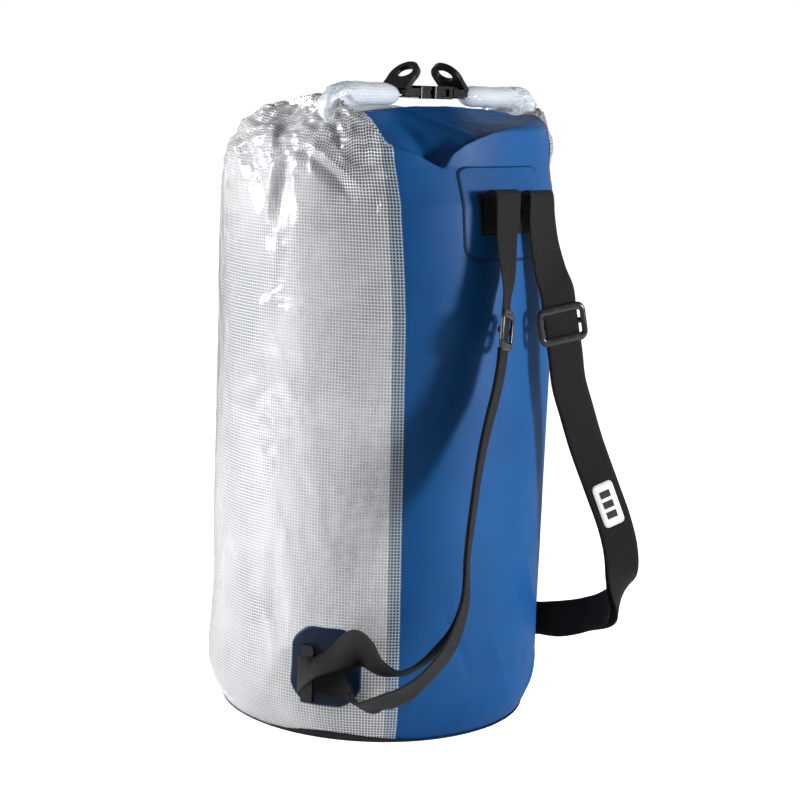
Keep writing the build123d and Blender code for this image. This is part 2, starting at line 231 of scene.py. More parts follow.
class Shader(Nodes):
    """A material under construction."""

    def __init__(self, name):
        self.material = bpy.data.materials.new(name)
        self.material.use_nodes = True
        super().__init__(self.material.node_tree)
        self.main = self.nodes["Principled BSDF"]

    def noise(self, scale, detail=3.0):
        return self.node("TexNoise", Vector=self.node("TexCoord", "Object"), Scale=scale, Detail=detail)

    def uv(self):
        split = self.nodes.new("ShaderNodeSeparateXYZ")
        self.links.new(self.node("TexCoord", "UV"), split.inputs[0])
        return split.outputs[0], split.outputs[1]

    def tint(self, factor, dark, light):
        return self.node("Mix", "Result", set_data_type="RGBA", Factor=factor, A=dark, B=light)

    def bump(self, height, depth, strength=1.0, normal=None):
        before = {} if normal is None else {"Normal": normal}
        return self.node("Bump", "Normal", Strength=strength, Distance=depth, Height=height, **before)

    def finish(self, colour, roughness, normal=None, specular=0.5, **more):
        if normal is not None:
            more["Normal"] = normal
        inputs = {"Base_Color": colour, "Roughness": roughness, "Specular_IOR_Level": specular, **more}
        for key, value in inputs.items():
            self.put(self.main.inputs[key.replace("_", " ")], value)
        return self.material


# ---- camera, light and floor --------------------------------------------------
def make_camera():
    """The camera, 1.8 m from the bag and a little above its mouth."""
    azimuth = math.radians(-47)
    pitch, roll, yaw = (math.radians(x) for x in (9.95, 2.25, 0.55))
    distance, height = 1.827, 0.625
    towards = Vector((math.sin(azimuth), -math.cos(azimuth), 0))
    side = Vector((math.cos(azimuth), math.sin(azimuth), 0))
    flat_ahead = -towards * math.cos(yaw) + side * math.sin(yaw)
    right = side * math.cos(yaw) + towards * math.sin(yaw)
    ahead = flat_ahead * math.cos(pitch) - Vector((0, 0, math.sin(pitch)))
    up = right.cross(ahead)
    right_rolled = right * math.cos(roll) + up * math.sin(roll)
    up_rolled = up * math.cos(roll) - right * math.sin(roll)
    data = bpy.data.cameras.new("camera")
    data.lens = 83.25
    data.clip_end = 50
    cam = bpy.data.objects.new("camera", data)
    turn = Matrix((right_rolled, up_rolled, -ahead)).transposed().to_4x4()
    turn.translation = towards * distance + Vector((0, 0, height))
    cam.matrix_world = turn
    bpy.context.scene.collection.objects.link(cam)
    bpy.context.scene.camera = cam
    return side, towards


def area_light(name, place, target, size, power):
    data = bpy.data.lights.new(name, "AREA")
    data.shape = "DISK"
    data.size = size
    data.energy = power
    lamp = bpy.data.objects.new(name, data)
    lamp.location = place
    lamp.rotation_mode = "QUATERNION"
    lamp.rotation_quaternion = (Vector(target) - Vector(place)).to_track_quat("-Z", "Y")
    bpy.context.scene.collection.objects.link(lamp)


def make_studio(side, towards):
    """White surroundings, brightest at the sides, dimmer overhead and in front, and a pale floor."""
    scene = bpy.context.scene
    scene.view_settings.view_transform = "Standard"
    scene.world = bpy.data.worlds.new("studio")
    scene.world.use_nodes = True
    sky = Nodes(scene.world.node_tree)
    view = sky.node("TexCoord", "Generated")
    by_height = sky.span(sky.node("SeparateXYZ", "Z", i0=view), 0.15, 0.75, 0.60, 0.12)
    facing = sky.node("VectorMath", "Value", set_operation="DOT_PRODUCT", i0=view, i1=towards)
    strength = sky.times(by_height, sky.span(facing, 0.1, 0.95, 1.0, 0.12))
    in_view = sky.node("LightPath", "Is Camera Ray")
    back = sky.nodes["Background"]
    sky.put(back.inputs["Strength"], sky.node("Mix", "Result", Factor=in_view, A=strength, B=1.0))
    sky.put(back.inputs["Color"], (1.0, 1.0, 1.0))
    middle = Vector((0, 0, 0.33))
    key_at = middle + side * 1.7 + towards * 0.8 + Vector((0, 0, 0.38))
    area_light("key", key_at, middle, 0.35, 35)
    fill_at = middle - side * 1.8 + towards * 0.2 + Vector((0, 0, 0.4))
    area_light("fill", fill_at, middle, 0.8, 42)
    half = 6.0
    corners = [(-half, -half, 0), (half, -half, 0), (half, half, 0), (-half, half, 0)]
    s = Shader("floor_pale")
    glow = s.times(s.node("LightPath", "Is Camera Ray"), 0.95)
    pale = s.finish((0.955, 0.96, 0.97), 0.9, None, 0.1, Emission_Color=(1, 1, 1), Emission_Strength=glow)
    floor = new_mesh("floor", corners, [(0, 1, 2, 3)], None, pale)
    floor.location.z = -0.2 * MM
    floor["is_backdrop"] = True


side_dir, towards_dir = make_camera()
make_studio(side_dir, towards_dir)


# ---- materials ----------------------------------------------------------------
def coated_fabric(name, dark, light, roughness=0.42):
    """Tarpaulin: a faint square weave under a satin coating, with soft dents."""
    s = Shader(name)
    u, v = s.uv()
    pitch = 1.1 * MM
    waves = [s.math("SINE", s.times(axis, 2 * math.pi / pitch)) for axis in (u, v)]
    weave = s.times(*waves)
    normal = s.bump(weave, 0.02 * MM, 0.35)
    normal = s.bump(s.noise(16.0, 3.0), 2.0 * MM, 0.35, normal)
    colour = s.tint(s.span(s.noise(9.0, 4.0), 0.35, 0.65), dark, light)
    rough = s.span(s.noise(30.0, 3.0), 0.3, 0.7, roughness - 0.05, roughness + 0.07)
    return s.finish(colour, rough, normal, 0.2)


def webbing_material(name):
    """Black nylon webbing: cross ribs about 1.5 mm apart, broken by a fine diagonal twill."""
    s = Shader(name)
    u, v = s.uv()
    rib = s.math("SINE", s.times(v, 2 * math.pi / (1.55 * MM)))
    slant = s.math("ADD", s.times(u, 2 * math.pi / (1.2 * MM)), s.times(v, 2 * math.pi / (2.4 * MM)))
    twill = s.math("SINE", slant)
    pattern = s.math("ADD", rib, s.times(twill, 0.5))
    raised = s.span(pattern, -1.2, 1.2)
    normal = s.bump(raised, 0.35 * MM, 0.9)
    normal = s.bump(s.noise(40.0, 2.0), 1.0 * MM, 0.3, normal)
    # Painted shade: the colour is darker in the troughs between the ribs than on their tops.
    colour = s.tint(raised, (0.001, 0.001, 0.0012), (0.010, 0.0097, 0.010))
    rough = s.span(raised, 0.0, 1.0, 0.75, 0.55)
    return s.finish(colour, rough, normal, 0.2, Sheen_Weight=0.04, Sheen_Roughness=0.4)


def plastic_material(name, shade=0.006, roughness=0.24):
    """Moulded black plastic with a fine grain."""
    s = Shader(name)
    normal = s.bump(s.noise(900.0, 2.0), 0.05 * MM, 0.25)
    normal = s.bump(s.noise(60.0, 2.0), 0.4 * MM, 0.12, normal)
    colour = s.tint(s.noise(70.0, 3.0), (shade * 0.7,) * 3, (shade * 1.3,) * 3)
    rough = s.span(s.noise(120.0, 3.0), 0.3, 0.7, roughness - 0.07, roughness + 0.08)
    return s.finish(colour, rough, normal, 0.4)


def clear_mesh_material(name, haze_low=0.25, haze_high=0.7, tint=(0.94, 0.96, 0.975), lap_to=0.0,
                        white_film=(0.88, 0.89, 0.90), glow=0.0):
    """Clear film over a grid of white threads, hazy in patches. Further than lap_to from the middle
    of the front it laps over the blue panel and is clearer. A strip near that has painted shade."""
    s = Shader(name)
    u, v = s.uv()
    masks = []
    for axis in (u, v):
        place = s.math("FRACT", s.math("DIVIDE", axis, MESH_PITCH))
        masks.append(s.span(s.absolute(s.minus(place, 0.5)), 0.29, 0.36))
    thread = s.math("MAXIMUM", *masks)
    normal = s.bump(thread, 0.25 * MM, 0.5)
    normal = s.bump(s.noise(11.0, 4.0), 9.0 * MM, 0.55, normal)
    normal = s.bump(s.noise(45.0, 3.0), 1.6 * MM, 0.5, normal)
    patches = s.span(s.noise(13.0, 5.0), 0.36, 0.64)
    haze = s.span(patches, 0.0, 1.0, haze_low, haze_high)
    opaque = s.times(thread, 0.93)
    film = white_film
    if lap_to:
        from_front = s.absolute(s.minus(u, math.pi * TUBE_R))
        over_blue = s.math("GREATER_THAN", from_front, lap_to)
        haze = s.times(haze, s.minus(1.0, s.times(over_blue, 0.85)))
        opaque = s.times(opaque, s.minus(1.0, s.times(over_blue, 0.2)))
        film = s.tint(over_blue, white_film, (0.72, 0.85, 1.0))
        # Painted shade: near the seam and high up, the clear cells are darkened and the haze thinned.
        near_seam = s.span(from_front, lap_to - 110 * MM, lap_to - 40 * MM)
        high_up = s.span(v, 0.38, 0.50, 0.6, 1.0)
        uneven = s.span(s.noise(14.0, 2.0), 0.3, 0.6, 0.6, 1.0)
        painted_shade = s.times(s.times(near_seam, high_up), uneven)
        haze = s.times(haze, s.minus(1.0, painted_shade))
        tint = s.tint(painted_shade, tint, (0.02, 0.02, 0.025))
    clear = s.node("BsdfTransparent", Color=tint)
    white = s.node("BsdfDiffuse", Color=film, Normal=normal)
    through = s.node("BsdfTranslucent", Color=film, Normal=normal)
    body = s.node("MixShader", Fac=0.3, i1=white, i2=through)
    # Painted light: an emission glow brightens the threads, though they are no lamp.
    if glow:
        body = s.node("AddShader", i0=body, i1=s.node("Emission", Color=white_film, Strength=glow))
    fabric = s.node("MixShader", Fac=s.math("MAXIMUM", haze, opaque), i1=clear, i2=body)
    gloss = s.node("BsdfGlossy", Color=(1, 1, 1), Roughness=0.13, Normal=normal)
    shine = s.times(s.node("Fresnel", IOR=1.5, Normal=normal), 1.5)
    surface = s.node("MixShader", Fac=shine, i1=fabric, i2=gloss)
    s.links.new(surface, s.nodes["Material Output"].inputs["Surface"])
    s.nodes.remove(s.main)
    return s.material


def label_material(name, half_w, half_l):
    """A white rubber badge: a thin double line round the edge and three plain bars."""
    s = Shader(name)
    u, v = s.uv()
    from_u, from_v = s.absolute(u), s.absolute(v)
    edge = s.math("MINIMUM", s.minus(half_w, from_u), s.minus(half_l, from_v))
    line = s.math("COMPARE", edge, 1.5 * MM)
    s.nodes[-1].inputs[2].default_value = 0.22 * MM
    place = s.math("FRACT", s.math("ADD", s.math("DIVIDE", v, 11.0 * MM), 0.5))
    bar = s.times(s.math("LESS_THAN", s.absolute(s.minus(place, 0.5)), 0.33),
                  s.math("LESS_THAN", s.math("DIVIDE", from_u, half_w), 0.5))
    bar = s.times(bar, s.math("LESS_THAN", s.math("DIVIDE", from_v, half_l), 0.72))
    dark = s.math("MAXIMUM", s.times(line, 0.55), bar)
    colour = s.tint(dark, (0.82, 0.82, 0.81), (0.02, 0.02, 0.022))
    normal = s.bump(bar, 0.3 * MM, 0.6)
    normal = s.bump(s.noise(300.0, 2.0), 0.05 * MM, 0.3, normal)
    return s.finish(colour, 0.42, normal, 0.4)


BLUE = coated_fabric("blue_pvc", (0.002, 0.061, 0.208), (0.003, 0.077, 0.254), 0.5)
NAVY = coated_fabric("navy_pvc", (0.005, 0.012, 0.030), (0.008, 0.018, 0.042), 0.5)
EDGE = coated_fabric("patch_edge", (0.002, 0.018, 0.06), (0.003, 0.024, 0.08))
BLACK = coated_fabric("black_pvc", (0.006, 0.006, 0.007), (0.014, 0.014, 0.015), 0.5)
MESH = clear_mesh_material("clear_mesh", lap_to=(math.pi - SEAM) * TUBE_R)
# The rolled ends carry a painted glow (emission) that brightens them.
ROLLED_MESH = clear_mesh_material("clear_mesh_rolled", 0.6, 0.92, (0.90, 0.94, 1.0),
                                  white_film=(0.86, 0.92, 1.0), glow=0.12)
WEBBING = webbing_material("black_webbing")
PLASTIC = plastic_material("black_plastic")
SLIDER_PLASTIC = plastic_material("slider_plastic", 0.02, 0.22)
STIFFENER = plastic_material("pale_strip", 0.6, 0.4)
THREAD = plastic_material("dark_thread", 0.02, 0.6)


# ---- the bag's fabric ---------------------------------------------------------
def roll_lift(x):
    """The roll is a little higher in its middle than at its bends."""
    return np.maximum(-4 * MM, 3.5 * MM - 7 * MM * ((x - 0.01) / 0.12) ** 2)


def mouth_point(angle):
    """Where a column of the tube enters the roll: straight middle, bend, arm."""
    angle = (angle + math.pi) % (2 * math.pi) - math.pi
    side = 1 if angle >= 0 else -1
    turn = abs(angle)
    on_back = turn <= math.pi / 2
    along = TUBE_R * (turn if on_back else math.pi - turn)
    off_y, off_z = (-0.57 * ROLL_R, 0.82 * ROLL_R) if on_back else (0.3 * ROLL_R, -0.9 * ROLL_R)
    if along <= BEND_X:
        return Vector((side * along, ROLL_Y + off_y, ROLL_Z + off_z + roll_lift(side * along)))
    out = BEND_OUT_RIGHT if side > 0 else BEND_OUT_LEFT
    arc = math.pi * math.sqrt((out * out + BEND_R * BEND_R) / 2)
    share = (along - BEND_X) / (TUBE_R * math.pi / 2 - BEND_X)
    further = share * (arc + ARM_USED)
    fade = (-0.5 if on_back else 0.3) * ROLL_R
    if further <= arc:
        bend = math.pi * further / arc
        mix = further / arc
        return Vector((side * (BEND_X + out * math.sin(bend)),
                       ROLL_Y + off_y * (1 - mix) + fade * mix,
                       ROLL_Z + (off_z - 3 * MM) * (1 - mix) + BEND_R * (1 - math.cos(bend))))
    return Vector((side * (BEND_X - (further - arc)), ROLL_Y + fade, ARM_Z))


def tube_point(angle, height):
    return Vector((TUBE_R * math.sin(angle), -TUBE_R * math.cos(angle), height))


def first_guess(angle, height):
    """A dome from the tube's wall to the mouth, before the cloth settles."""
    if height <= DOME_FROM:
        return tube_point(angle, height)
    t = (height - DOME_FROM) / (TUBE_LENGTH - DOME_FROM)
    a = tube_point(angle, DOME_FROM)
    b = tube_point(angle, DOME_FROM + 70 * MM)
    c = mouth_point(angle)
    return a * (1 - t) ** 2 + b * 2 * t * (1 - t) + c * t * t


def settle_fabric():
    """Blows the top of the tube out against its own cloth, held at its wall and its mouth."""
    angles = [-math.pi + 2 * math.pi * j / COLUMNS for j in range(COLUMNS)]
    heights = [WALL_TO + (TUBE_LENGTH - WALL_TO) * i / ROWS for i in range(ROWS + 1)]
    guess = [first_guess(a, h) for h in heights for a in angles]
    top = new_mesh("fabric_sim", guess, grid_faces(ROWS + 1, COLUMNS, wrap=True))
    top.shape_key_add(name="Basis")
    flat = top.shape_key_add(name="unrolled")
    for index, point in enumerate(tube_point(a, h) for h in heights for a in angles):
        flat.data[index].co = point
    held = top.vertex_groups.new(name="held")
    total = (ROWS + 1) * COLUMNS
    held.add(list(range(2 * COLUMNS)) + list(range(total - COLUMNS, total)), 1.0, "REPLACE")
    cloth = modifier(top, "CLOTH")
    set_all(cloth.settings, quality=6, mass=0.25, tension_stiffness=60, compression_stiffness=40,
            shear_stiffness=12, bending_stiffness=BENDING, tension_damping=12, compression_damping=12,
            shear_damping=8, bending_damping=1.0, air_damping=3, vertex_group_mass="held",
            pin_stiffness=1.0, use_pressure=True, uniform_pressure_force=PRESSURE, rest_shape_key=flat)
    cloth.settings.effector_weights.gravity = 0.0
    cloth.collision_settings.use_collision = False
    set_all(cloth.point_cache, frame_start=1, frame_end=SIM_FRAMES)
    scene = bpy.context.scene
    for step in range(1, SIM_FRAMES + 1):
        scene.frame_set(step)
    graph = bpy.context.evaluated_depsgraph_get()
    result = top.evaluated_get(graph).to_mesh()
    points = np.zeros(total * 3)
    result.vertices.foreach_get("co", points)
    bpy.data.objects.remove(top)
    scene.frame_set(1)
    return points.reshape(ROWS + 1, COLUMNS, 3)


# ---- the finished surface of the fabric ----------------------------------------
FINE_COLS = 480
FINE_ROWS = 310


def cubic_table(places, count, wrap):
    """Catmull-Rom weights that read a row of samples at the given places."""
    base = np.floor(places).astype(int)
    t = places - base
    parts = (-0.5 * t + t * t - 0.5 * t ** 3, 1 - 2.5 * t * t + 1.5 * t ** 3,
             0.5 * t + 2 * t * t - 1.5 * t ** 3, -0.5 * t * t + 0.5 * t ** 3)
    table = np.zeros((len(places), count))
    for step, part in zip((-1, 0, 1, 2), parts):
        index = base + step
        index = index % count if wrap else np.clip(index, 0, count - 1)
        np.add.at(table, (np.arange(len(places)), index), part)
    return table


def refined(top, angles, heights):
    """Plain cylinder below, the settled dome above, on a fine grid."""
    grid = np.zeros((len(heights), len(angles), 3))
    radius = (TUBE_R - foot(heights))[:, None]
    grid[..., 0] = radius * np.sin(angles)
    grid[..., 1] = -radius * np.cos(angles)
    grid[..., 2] = heights[:, None]
    upper = heights >= WALL_TO
    rows = (heights[upper] - WALL_TO) / (TUBE_LENGTH - WALL_TO) * ROWS
    across = cubic_table((angles + math.pi) / (2 * math.pi) * COLUMNS, COLUMNS, True)
    lifted = np.tensordot(cubic_table(rows, ROWS + 1, False), top, axes=(1, 0))
    grid[upper] = np.einsum("cj,rjk->rck", across, lifted)
    return grid


def bow(x):
    """How far back a round wall reaches at x, as a share of its radius."""
    return np.sqrt(np.clip(1 - (x / TUBE_R) ** 2, 0.02, 1))


def flatten_back(grid, angles):
    """The back wall leans in a little towards the mouth."""
    x, y, z = grid[..., 0], grid[..., 1], grid[..., 2]
    depth = np.interp(z, (0.40, 0.44, 0.51, 0.545, 0.57, 0.60),
                      (0.1650, 0.1648, 0.1570, 0.1450, 0.1410, 0.1400))
    over = above_zero(-depth * bow(x) - y, 1.5 * MM)
    share = ease((math.radians(75) - np.abs(angles)) / math.radians(25))
    grid[..., 1] = y + over * share * ease((z - 0.40) / 0.05)


def shape_roof(grid, angles):
    """Behind a ridge that climbs to the right, the blue fabric drops and runs to the roll."""
    ridge_x = np.array((-150, -112, -106, -93, -78, -70, -62, -47, -31, -12, 9, 56, 100)) * MM
    ridge_z = np.array((566, 563, 560, 556, 547, 544, 556, 565, 571, 577, 581, 586, 588)) * MM
    x, y, z = grid[..., 0], grid[..., 1], grid[..., 2]
    ridge_y = -0.137 * bow(x)
    line = np.interp(x, ridge_x, ridge_z)
    roll_edge = ROLL_Y - 0.57 * ROLL_R
    top = ROLL_Z + 0.82 * ROLL_R + roll_lift(x)
    t = np.clip((y - ridge_y) / (roll_edge - ridge_y), 0, 1)
    sag = 5 * MM * np.sin(math.pi * t) * ease((x + 0.06) / 0.05)
    pit = 7 * MM * bell(x, -0.072, 0.016) * bell(t, 0.2, 0.13)
    fold = 5 * MM * bell(x, -0.028 - 0.02 * t, 0.006) * np.sin(math.pi * t)
    roof = line + (top - line) * t - sag - pit + fold
    over = above_zero(z - roof, 0.8 * MM)
    share = ease((x + 0.128) / 0.016) * ease((0.125 - x) / 0.05)
    share = share * (np.abs(angles) < math.radians(100))
    grid[..., 2] = z - over * share


def crease(arc, height, start, end, lift, width):
    """A ridge (or, with negative lift, a furrow) between two points of the flat fabric."""
    a = np.array(start)
    b = np.array(end)
    run = b - a
    t = ((arc - a[0]) * run[0] + (height - a[1]) * run[1]) / (run @ run)
    inside = np.clip(t, 0, 1)
    gap = np.hypot(arc - a[0] - inside * run[0], height - a[1] - inside * run[1])
    taper = np.sqrt(np.clip(1 - (2 * inside - 1) ** 2, 0, 1)) * 0.8 + 0.2
    return lift * taper * np.exp(-np.abs(gap / width) ** 1.3)


# Each crease: angle and height of its start, angle and height of its end, lift and width, with
# angles in degrees, heights in metres, and lift and width in millimetres.
CREASES = (
    (-72, 0.592, -52, 0.519, 7.0, 6), (-77, 0.585, -57, 0.512, -6.0, 8),
    (-86, 0.560, -89, 0.490, 5.0, 5), (-82, 0.560, -84, 0.500, -4.0, 6),
    (-74, 0.585, -72, 0.540, 4.5, 4), (-104, 0.585, -90, 0.500, -5.0, 8),
    (-112, 0.600, -101, 0.520, 5.0, 8), (-66, 0.650, -60, 0.560, -4.0, 7),
    (-95, 0.640, -86, 0.570, 5.0, 7), (-60, 0.640, -50, 0.560, 3.5, 8),
    (-125, 0.640, -112, 0.560, 5.0, 9), (-140, 0.650, -122, 0.520, -5.0, 10),
    (120, 0.640, 105, 0.540, 5.0, 9), (95, 0.650, 80, 0.560, -5.0, 9),
    (140, 0.650, 125, 0.530, 5.0, 10), (75, 0.655, 62, 0.580, 4.0, 7),
    (170, 0.600, 160, 0.500, 4.0, 10), (-165, 0.620, -160, 0.500, 4.0, 10),
    (33, 0.060, 24, 0.020, 2.0, 5), (-28, 0.075, -36, 0.030, 1.6, 5),
    (-6, 0.110, 8, 0.030, 1.5, 6), (14, 0.170, 30, 0.090, 1.4, 7), (-24, 0.130, -12, 0.060, -1.3, 6),
)


def relief(angles, heights):
    """How far the fabric stands off its smooth shape, along its normal."""
    turn, height = np.meshgrid(angles, heights)
    arc = turn * TUBE_R
    flat = np.stack([arc, height, 0 * arc], -1).reshape(-1, 3)

    def waves(scale, seed, octaves, upright=1.0, shift=0.0):
        """Noise over the flat fabric, drawn out up the bag where upright is under 1."""
        places = flat * np.array((1.0, upright, 1.0)) + np.array((shift, 0, 0))
        return bump_noise(places, scale, seed, octaves).reshape(arc.shape)

    wave = waves(9.0, 1, 2)
    swell = waves(16.0, 2, 2, 0.35)
    ridges = 0.5 - np.abs(waves(26.0, 3, 3, 0.55)) * 1.6
    small = waves(60.0, 4, 2)
    clear = 1 - ease((SEAM + 0.05 - np.abs(turn)) / 0.12)
    near_mouth = ease((height - 0.47) / 0.13)
    held = ease((TUBE_LENGTH - height) / 0.02) * ease(height / 0.03)
    depth = 1.1 * MM * wave + 0.9 * MM * swell * (0.35 + 0.65 * clear)
    depth = depth + clear * (0.9 + 3.6 * near_mouth) * MM * ridges
    depth = depth + clear * (0.25 + 0.8 * near_mouth) * MM * small
    depth = depth + 3.0 * MM * bell(height, 0.05, 0.035) * bell(turn, -2.2, 0.8)
    shoulder = bell(turn, 1.10, 0.30) * bell(height, 0.60, 0.036)
    depth = depth + 10.0 * MM * shoulder
    slack = 0.35 + 0.65 * ease((0.30 - height) / 0.2)
    low_folds = waves(20.0, 6, 2, 0.28, 0.3)
    depth = depth + 0.9 * MM * low_folds * slack * (1 - clear)
    for a0, h0, a1, h1, lift, width in CREASES:
        start, end = (math.radians(a0) * TUBE_R, h0), (math.radians(a1) * TUBE_R, h1)
        depth = depth + crease(arc, height, start, end, lift * MM, width * MM)
    return depth * held


def grid_normals(grid):
    along = np.gradient(grid, axis=0)
    wide = np.concatenate([grid[:, -1:], grid, grid[:, :1]], axis=1)
    around = np.gradient(wide, axis=1)[:, 1:-1]
    return unit(np.cross(around, along))


class Fabric:
    """The finished tube, read at (angle, height)."""

    def __init__(self, top):
        angles = np.linspace(-math.pi, math.pi, FINE_COLS, endpoint=False)
        heights = np.linspace(0, TUBE_LENGTH, FINE_ROWS)
        grid = refined(top, angles, heights)
        flatten_back(grid, angles)
        shape_roof(grid, angles)
        normals = grid_normals(grid)
        self.grid = grid + normals * relief(angles, heights)[..., None]
        radius = np.hypot(self.grid[..., 0], self.grid[..., 1])
        most = TUBE_R + 5 * MM
        pull = np.where(radius > most, most / np.maximum(radius, 1e-6), 1.0)
        self.grid[..., :2] *= pull[..., None]
        self.grid[..., 2] = np.maximum(self.grid[..., 2], 1.5 * MM)
        self.normals = grid_normals(self.grid)

    def at(self, angles, heights, off=0.0):
        """Points at the given angles and heights (same shape), lifted off by a distance."""
        col = (np.asarray(angles) + math.pi) / (2 * math.pi) * FINE_COLS
        row = np.clip(np.asarray(heights) / TUBE_LENGTH * (FINE_ROWS - 1), 0, FINE_ROWS - 1.001)
        c0 = np.floor(col).astype(int)
        r0 = np.floor(row).astype(int)
        s = (col - c0)[..., None]
        t = (row - r0)[..., None]
        c0, c1 = c0 % FINE_COLS, (c0 + 1) % FINE_COLS

        def read(table):
            return ((table[r0, c0] * (1 - s) + table[r0, c1] * s) * (1 - t)
                    + (table[r0 + 1, c0] * (1 - s) + table[r0 + 1, c1] * s) * t)

        normal = unit(read(self.normals))
        return read(self.grid) + normal * np.asarray(off)[..., None], normal


fabric = Fabric(settle_fabric())


def fabric_spot(angle, height, off=0.0):
    """One point of the fabric, and the normal there."""
    point, normal = fabric.at(np.array([angle]), np.array([height]), np.array([off]))
    return point[0], normal[0]


def seam_lean(heights):
    """The seams run a little towards +X on their way down."""
    return np.interp(heights, (0, 0.12, 0.40, 0.50), (0.067, 0.058, 0.024, 0.0))


def fabric_piece(name, angles, heights, off, material, thickness=0.0, lean=0.0):
    """A rectangle of the tube, as wide as the angles and as tall as the heights. Its weave runs at
    an even pitch up the wall and over the dome."""
    turn, height = np.meshgrid(angles, heights)
    points, _ = fabric.at(turn + lean * seam_lean(height), height, np.zeros(turn.shape) + off)
    steps = np.where(height[1:] < EVEN_TO, np.diff(height, axis=0),
                     np.linalg.norm(np.diff(points, axis=0), axis=-1))
    along = np.cumsum(np.concatenate([height[:1], steps]), axis=0)
    uvs = np.stack([turn * TUBE_R, along], -1).reshape(-1, 2)
    obj = new_mesh(name, points.reshape(-1, 3), grid_faces(len(heights), len(angles)), uvs, material)
    if thickness:
        modifier(obj, "SOLIDIFY", thickness=thickness, offset=-1.0, use_even_offset=False)
    return obj


def fabric_patch(name, middle, outline, off, material, thickness):
    """A welded patch. outline gives, for each direction, how far its edge is, in metres."""
    centre_angle, centre_height = middle
    rings = np.linspace(0, 1, 26) ** 0.8
    turns = circle(120)
    reach = np.array([outline(t) for t in turns])
    verts, uvs = [], []
    for ring in rings:
        u = np.cos(turns) * reach * ring
        v = np.sin(turns) * reach * ring
        edge = off + thickness * math.sqrt(max(0.0, 1 - max(0.0, (ring - 0.965) / 0.035) ** 2))
        points, _ = fabric.at(centre_angle + u / TUBE_R, centre_height + v, np.full(u.shape, edge))
        verts.append(points)
        uvs.append(np.stack([u, v], -1))
    obj = new_mesh(name, np.concatenate(verts), grid_faces(len(rings), len(turns), wrap=True),
                   np.concatenate(uvs), material)
    obj.data.materials.append(EDGE)
    for face in obj.data.polygons[-2 * len(turns):]:
        face.material_index = 1
    return obj


def rounded_outline(half_w, half_h, corner, power=2.0):
    """Edge distance of a rectangle with round corners, by direction. A power below 2 makes the
    corners flatter, towards a straight cut."""
    def reach(turn):
        c, s = abs(math.cos(turn)), abs(math.sin(turn))
        low, high = 0.0, half_w + half_h
        for _ in range(26):
            mid = (low + high) / 2
            over_x = max(0, c * mid - half_w + corner) / corner
            over_y = max(0, s * mid - half_h + corner) / corner
            inside = over_x ** power + over_y ** power <= 1
            low, high = (mid, high) if inside else (low, mid)
        return low
    return reach


blue_angles = np.linspace(-SEAM, SEAM, 130)
all_heights = np.linspace(0, TUBE_LENGTH, 300)
blue_panel = fabric_piece("blue_panel", blue_angles, all_heights, 0.0, BLUE, FABRIC_T, lean=1.0)
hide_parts("back_panel")
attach(blue_panel, "bag")

lap = WELD / TUBE_R
clear_angles = np.concatenate([np.linspace(SEAM - lap, SEAM + 0.03, 12)[:-1],
                               np.linspace(SEAM + 0.03, 2 * math.pi - SEAM - 0.03, 330),
                               np.linspace(2 * math.pi - SEAM - 0.03, 2 * math.pi - SEAM + lap, 12)[1:]])
clear_panel = fabric_piece("clear_panel", clear_angles, all_heights, 0.7 * MM, MESH, lean=1.0)
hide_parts("clear_mesh_panel")
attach(clear_panel, "bag")

patch_low, patch_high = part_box("upper_patch")
patch_height = (patch_low.z + patch_high.z) / 2
patch_outline = rounded_outline((patch_high.x - patch_low.x) / 2 + 4 * MM,
                                (patch_high.z - patch_low.z) / 2 + 3 * MM, 15 * MM)
upper_patch = fabric_patch("upper_patch_fabric", (-4 * MM / TUBE_R, patch_height + 3 * MM),
                           patch_outline, 0.1 * MM, BLUE, 0.7 * MM)
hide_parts("upper_patch")
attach(upper_patch, "bag")

LOWER_PATCH_TURN = math.radians(62.5)
for side_name, side in (("left", -1), ("right", 1)):
    low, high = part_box(f"{side_name}_lower_patch")
    patch = fabric_patch(f"{side_name}_patch_fabric", (side * LOWER_PATCH_TURN, (low.z + high.z) / 2),
                         rounded_outline(34.5 * MM, 38 * MM, 20 * MM, 1.5), 0.9 * MM, NAVY, 1.3 * MM)
    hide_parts(f"{side_name}_lower_patch")
    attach(patch, "bag")


# ---- rolled mouth ---------------------------------------------------------------
def roll_line(start_x, end_x, side):
    """Centre line of one end of the roll: from the straight run, round the bend, back along the
    arm."""
    points = [Vector((start_x, ROLL_Y, ROLL_Z - 2 * MM))]
    out = BEND_R + (3 * MM if side > 0 else 0)
    for turn in np.linspace(0, math.pi, 22):
        points.append(Vector((side * (BEND_X + out * math.sin(turn)), ROLL_Y,
                              ROLL_Z + BEND_R * (1 - math.cos(turn)))))
    for step in np.linspace(0, 1, 14)[1:]:
        points.append(Vector((side * BEND_X + (end_x - side * BEND_X) * step, ROLL_Y, ARM_Z)))
    return points


def resample(points, spacing):
    """Evenly spaced points along a Catmull-Rom curve, with the parameter of each."""
    pts = np.array(points, float)
    count = len(pts)
    fine = np.linspace(0, count - 1, count * 14)
    curve = cubic_table(fine, count, False) @ pts
    gaps = np.linalg.norm(np.diff(curve[:, :3], axis=0), axis=1)
    travelled = np.concatenate([[0], np.cumsum(gaps)])
    number = max(3, int(round(travelled[-1] / spacing)) + 1)
    places = np.linspace(0, travelled[-1], number)
    out = np.stack([np.interp(places, travelled, curve[:, k]) for k in range(pts.shape[1])], -1)
    return out, places


